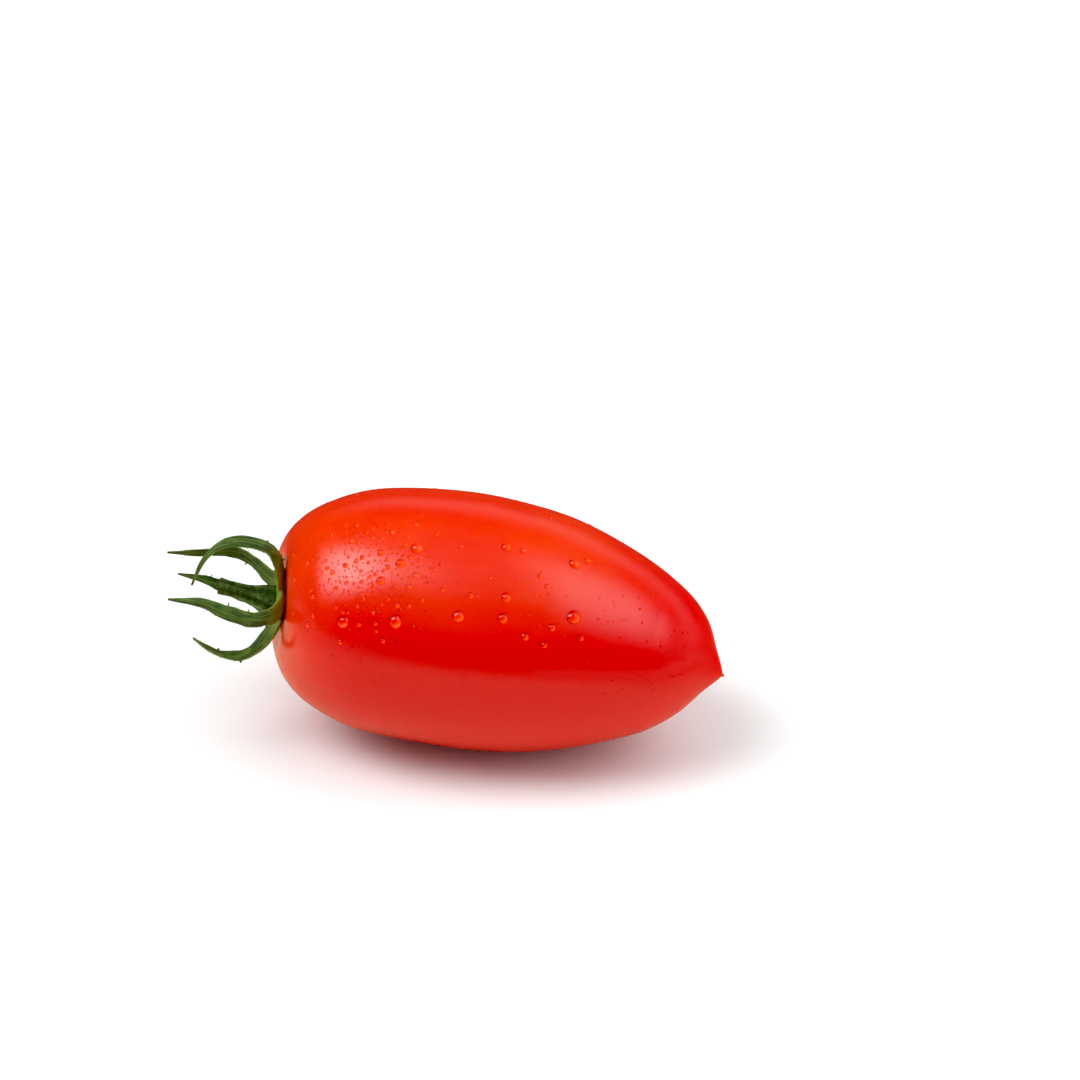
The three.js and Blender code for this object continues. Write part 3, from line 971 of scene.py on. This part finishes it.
def add_drop(shape, skin, spot, normal, radius, mesh, lumps, kind):
    """A cap of water on the skin, closed below by a floor that follows the skin."""
    side = unit(np.cross(normal, [0.2, 0.35, 0.91]))
    other = np.cross(normal, side)
    light = towards(PANELS[0]["azimuth"], PANELS[0]["elevation"])
    away = unit((light @ normal) * normal - light)
    lens = float(smooth(LENS_FROM, LENS_FULL, radius))
    rings, sides = mesh
    turn = np.linspace(0, 2 * math.pi, sides, endpoint=False)
    depth, first, second = lumps
    outline = radius * (1 + depth * np.cos(2 * turn + first) + 0.6 * depth * np.cos(3 * turn + second))
    outwards = (outline * np.cos(turn))[:, None] * side + (outline * np.sin(turn))[:, None] * other
    far = np.cos(turn) * (side @ away) + np.sin(turn) * (other @ away)
    contact = math.radians(kind["contact"])
    ball = 1 / math.sin(contact)
    drop = []
    floor = []
    painted_light = []
    for share in np.linspace(DROP_MIDDLE, 1, rings):
        ring = spot + share * outwards
        found = [skin.find_nearest(Vector(place)) for place in ring]
        base = np.array([hit[0] + hit[1] * DROP_LIFT for hit in found])
        height = radius * (math.sqrt(ball ** 2 - share ** 2) - ball * math.cos(contact))
        floor.append(base)
        drop.append(base + normal * height)
        # Painted light on the side away from the key panel, painted shade at the rim and on small drops.
        far_side = share * far
        rim = smooth(RIM_FROM, 1, share)
        lit = (1 - rim) * far_side + rim * (RIM_PAINTED_SHADE + RIM_SWING * far_side)
        painted_light.append(lens * lit + (1 - lens) * kind["painted_shade"])
    drop[-1] = floor[-1]
    join_cap(shape, np.array(drop), np.array(floor), np.array(painted_light))


def join_cap(shape, cap, floor, painted_light):
    """Adds a closed drop whose cap is water and whose floor is wet skin."""
    rings, sides, _ = cap.shape
    count = shape.count
    ends = [cap[0].mean(axis=0), floor[0].mean(axis=0)]
    points = np.vstack([cap.reshape(-1, 3), floor[:-1].reshape(-1, 3), ends])
    at = np.arange(rings * sides).reshape(rings, sides)
    below = np.vstack([at[:-1] + rings * sides, at[-1:]])
    peak, pit = len(points) - 2, len(points) - 1
    faces, slots = [], []
    for grid, end, slot, outwards in ((at, peak, 0, True), (below, pit, 1, False)):
        after = np.roll(grid, -1, axis=1)
        quads = np.stack([grid[:-1], grid[1:], after[1:], after[:-1]], axis=-1).reshape(-1, 4).tolist()
        fans = [[end, int(a), int(b)] for a, b in zip(grid[0], after[0])]
        part = quads + fans
        faces += part if outwards else [face[::-1] for face in part]
        slots += [slot] * len(part)
    if signed_volume(points, faces) < 0:
        faces = [face[::-1] for face in faces]
    shape.points.append(points)
    shape.faces += [[corner + count for corner in face] for face in faces]
    shape.face_slots += slots
    # Each point's painted light and shade for the wet skin under the drop.
    painted_lights = np.concatenate([painted_light.ravel(), painted_light[:-1].ravel(), [painted_light.mean()] * 2])
    shape.numbers.setdefault("painted_light", []).append(painted_lights)
    shape.count += len(points)


def drops_shape(skin, skin_points):
    """The drops the photograph shows, and fine spray over the upper side all round."""
    rng = np.random.default_rng(DROP_SEED)
    shape = Shape()
    taken = []

    def try_drop(spot, normal, radius, mesh, lumpiness, kind):
        """Adds a drop and says so, unless another one is too near."""
        spot, normal = np.array(spot), np.array(normal)
        if any(np.linalg.norm(spot - other) < DROP_SPACING * (radius + reach) for other, reach in taken):
            return False
        lumps = (lumpiness * rng.uniform(0.3, 1), *rng.uniform(0, 2 * math.pi, 2))
        add_drop(shape, skin, spot, normal, radius, mesh, lumps, kind)
        taken.append((spot, radius))
        return True

    for across, down, radius in SEEN_DROPS:
        spot, normal, _, _ = skin.ray_cast(Vector(CAMERA_AT), Vector(photo_ray(across, down)))
        if spot is not None:
            try_drop(spot, normal, radius * MM, SEEN_MESH, SEEN_LUMPS, SEEN)

    wettest = np.array(skin.ray_cast(Vector(CAMERA_AT), Vector(photo_ray(*WETTEST_SPOT)))[0])
    for kind in (CLUSTER, SCATTER, MIST):
        made = 0
        while made < kind["count"]:
            guess = rng.uniform(skin_points.min(axis=0), skin_points.max(axis=0))
            if "spread" in kind:
                guess = wettest + rng.normal(size=3) * kind["spread"] * MM
            spot, normal, _, _ = skin.find_nearest(Vector(guess))
            from_calyx = np.linalg.norm(np.array(spot) - CALYX_AT)
            lowest = SPRAY_LOWEST - SPRAY_FADES * rng.uniform() ** 3
            if normal[2] < lowest or from_calyx < DRY_REACH:
                continue
            radius = (kind["smallest"] + kind["added"] * rng.uniform() ** SPRAY_CROWDED) * MM
            mesh = SMALL_MESH if radius < SMALL_DROP else SPRAY_MESH
            made += try_drop(spot, normal, radius, mesh, SPRAY_LUMPS, kind)
    return shape


# Light: three soft panels and a dim room, with a pale backdrop.
# Each panel: azimuth from +Y towards +X, elevation, turn about its middle, half sizes where it is
# full and where it ends, as tangents of the angle from its middle, and its radiance.
PANELS = [
    {"azimuth": -106, "elevation": 53, "turn": 61,
     "radiance": 8.0, "full": (0.14, 0.07), "ends": (0.74, 0.42)},
    {"azimuth": 93, "elevation": 52, "turn": 30,
     "radiance": 2.9, "full": (0.02, 0.02), "ends": (0.86, 0.46)},
    {"azimuth": 80, "elevation": 10, "turn": 0,
     "radiance": 0.4, "full": (0.02, 0.02), "ends": (0.90, 0.70)},
]

# Other light: a band behind the fruit, the ceiling, and, left out of the gloss, sky and sides. Each
# spread is from where that light is none to where it is full, as a share of its own direction.
ROOM_LEVEL = 0.03
BACK_WAY = (0.35, 0.94, 0.0)
BACK_SPREAD = (0.40, 0.90)
BACK_FROM_BELOW = (0.10, 0.38)
BACK_FROM_ABOVE = (0.60, 0.38)
BACK_LEVEL = 0.52
OVERHEAD_SPREAD = (0.75, 1.0)
OVERHEAD_LEVEL = 0.26
SKY_WAY = (0.80, 0.22, 0.55)
SKY_SPREAD = (-0.4, 1.0)
SKY_LEVEL = 0.60
SIDES_WAY = (0, 1, 0)
SIDES_SPREAD = (-0.8, 0.0)
SIDES_LEVEL = 0.18
SOFT_SHARE = 0.79
BACKDROP_LEVEL = 1.0


def towards(azimuth, elevation):
    """A direction from angles in degrees."""
    azimuth, elevation = math.radians(azimuth), math.radians(elevation)
    level = math.cos(elevation)
    return np.array([math.sin(azimuth) * level, math.cos(azimuth) * level, math.sin(elevation)])


def panel_light(recipe, direction, panel):
    """The radiance of a soft-edged rectangle seen in a direction."""
    middle = towards(panel["azimuth"], panel["elevation"])
    level = unit(np.cross([0, 0, 1], middle))
    rise = np.cross(middle, level)
    turn = math.radians(panel["turn"])
    long_way = level * math.cos(turn) + rise * math.sin(turn)
    short_way = rise * math.cos(turn) - level * math.sin(turn)
    facing = recipe.dot(direction, middle)
    light = recipe.between(facing, 0.0, 0.2, 0.0, panel["radiance"])
    for way, full, ends in zip((long_way, short_way), panel["full"], panel["ends"]):
        off_middle = recipe.math("DIVIDE", recipe.dot(direction, way), facing)
        share = recipe.between(recipe.math("ABSOLUTE", off_middle), ends, full)
        light = recipe.math("MULTIPLY", light, share)
    return light


def add_room():
    """The world's light; the camera itself sees the backdrop."""
    world = bpy.data.worlds.new("studio")
    bpy.context.scene.world = world
    world.use_nodes = True
    recipe = Recipe(world.node_tree)
    direction = recipe.node("TexCoord", {}).outputs["Generated"]
    height = recipe.dot(direction, (0, 0, 1))
    behind = recipe.between(recipe.dot(direction, BACK_WAY), *BACK_SPREAD)
    from_below = recipe.between(height, *BACK_FROM_BELOW)
    from_above = recipe.between(height, *BACK_FROM_ABOVE)
    back = recipe.math("MULTIPLY", behind, recipe.math("MULTIPLY", from_below, from_above))
    light = recipe.math("MULTIPLY_ADD", back, BACK_LEVEL, ROOM_LEVEL)
    overhead = recipe.between(height, *OVERHEAD_SPREAD, 0.0, OVERHEAD_LEVEL)
    light = recipe.math("ADD", light, overhead)
    path = recipe.node("LightPath", {}).outputs
    unmirrored = recipe.math("SUBTRACT", 1.0, path["Is Glossy Ray"])
    panels = 0.0
    for panel in PANELS:
        panels = recipe.math("ADD", panels, panel_light(recipe, direction, panel))
    share = recipe.between(unmirrored, 0.0, 1.0, 1.0, SOFT_SHARE)
    light = recipe.math("MULTIPLY_ADD", panels, share, light)
    sky = recipe.between(recipe.dot(direction, SKY_WAY), *SKY_SPREAD, 0.0, SKY_LEVEL)
    sides = recipe.between(recipe.dot(direction, SIDES_WAY), *SIDES_SPREAD, 0.0, SIDES_LEVEL)
    sky = recipe.math("ADD", sky, sides)
    light = recipe.math("ADD", light, recipe.math("MULTIPLY", sky, unmirrored))
    light = recipe.between(path["Is Camera Ray"], 0.0, 1.0, light, BACKDROP_LEVEL)
    recipe.finish(Color=(1.0, 1.0, 1.0), Strength=light)


FLOOR_HALF = 3.0
FLOOR_LEVEL = -0.02 * MM


def add_floor():
    """One large square just below the resting spot."""
    mesh = bpy.data.meshes.new("floor")
    turns = ((-1, -1), (1, -1), (1, 1), (-1, 1))
    corners = [(x * FLOOR_HALF, y * FLOOR_HALF, FLOOR_LEVEL) for x, y in turns]
    mesh.from_pydata(corners, [], [(0, 1, 2, 3)])
    mesh.materials.append(floor_material())
    floor = bpy.data.objects.new("floor", mesh)
    bpy.context.scene.collection.objects.link(floor)


# What the picture shows as black.
BLACK_LEVEL = 0.015


def set_picture_levels():
    """Plain colours, and everything up to the black level as black."""
    settings = bpy.context.scene.view_settings
    settings.view_transform = "Standard"
    settings.use_curve_mapping = True
    settings.curve_mapping.black_level = (BLACK_LEVEL,) * 3
    settings.curve_mapping.update()


add_camera()
fruit = fruit_shape()
skin_tree = BVHTree.FromPolygons(np.vstack(fruit.points).tolist(), fruit.faces)
skin = skin_material()
green = leaf_material()
add_piece("fruit_skin", fruit, [skin], ["fruit"])
add_piece("tip_scar", scar_shape(), [scar_material()])
add_piece("calyx_rosette", rosette_shape(), [green], ["receptacle"])
for number in range(len(SEPALS)):
    add_piece(f"sepal_blade_{number + 1}", sepal_shape(number), [green], [f"sepal_{number + 1}"])
add_piece("stub_ribbed", stub_shape(), [stalk_material()], ["stalk_stub"])
drops = drops_shape(skin_tree, np.vstack(fruit.points))
water = add_piece("water_drops", drops, [water_material(), wet_skin_material()])
water.visible_shadow = False

add_floor()
add_room()
set_picture_levels()
